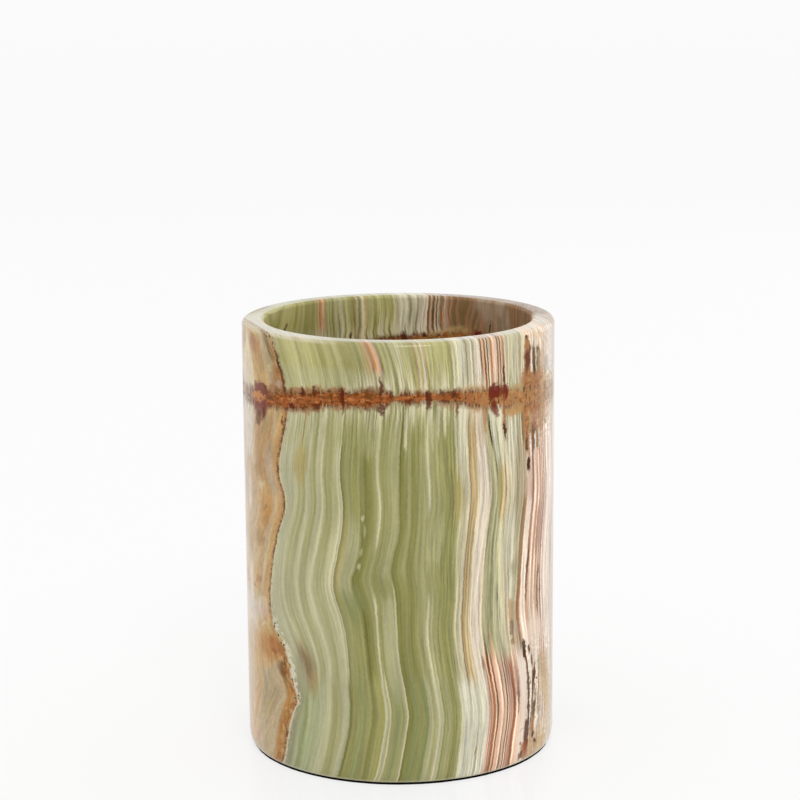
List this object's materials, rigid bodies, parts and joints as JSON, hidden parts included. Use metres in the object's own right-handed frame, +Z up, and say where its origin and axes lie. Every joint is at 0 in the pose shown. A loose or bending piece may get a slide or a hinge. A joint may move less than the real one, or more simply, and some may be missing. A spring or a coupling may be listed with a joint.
{
  "type": "pen stand",
  "caption": "Round turned stone cup in banded green and brown onyx, with an open well for pens and a dark felt pad under its foot.",
  "frame": {"origin": "centre of the foot, on the surface that the stand rests on", "axes": "+Z up along the cup's axis, out of the well's mouth; -Y is the side that faces the picture's viewer"},
  "size_m": [0.076, 0.076, 0.1062],
  "materials": {
    "onyx": "polished, banded",
    "onyx_ground": "ground",
    "bond_resin": "cured clear resin",
    "adhesive_film": "dark film",
    "pad_felt": "short felt"
  },
  "bodies": {
    "root": {"onyx_sleeve": "onyx", "floor_disc": "onyx_ground", "floor_bond": "bond_resin", "pad_adhesive": "adhesive_film", "base_pad": "pad_felt"}
  },
  "joints": []
}
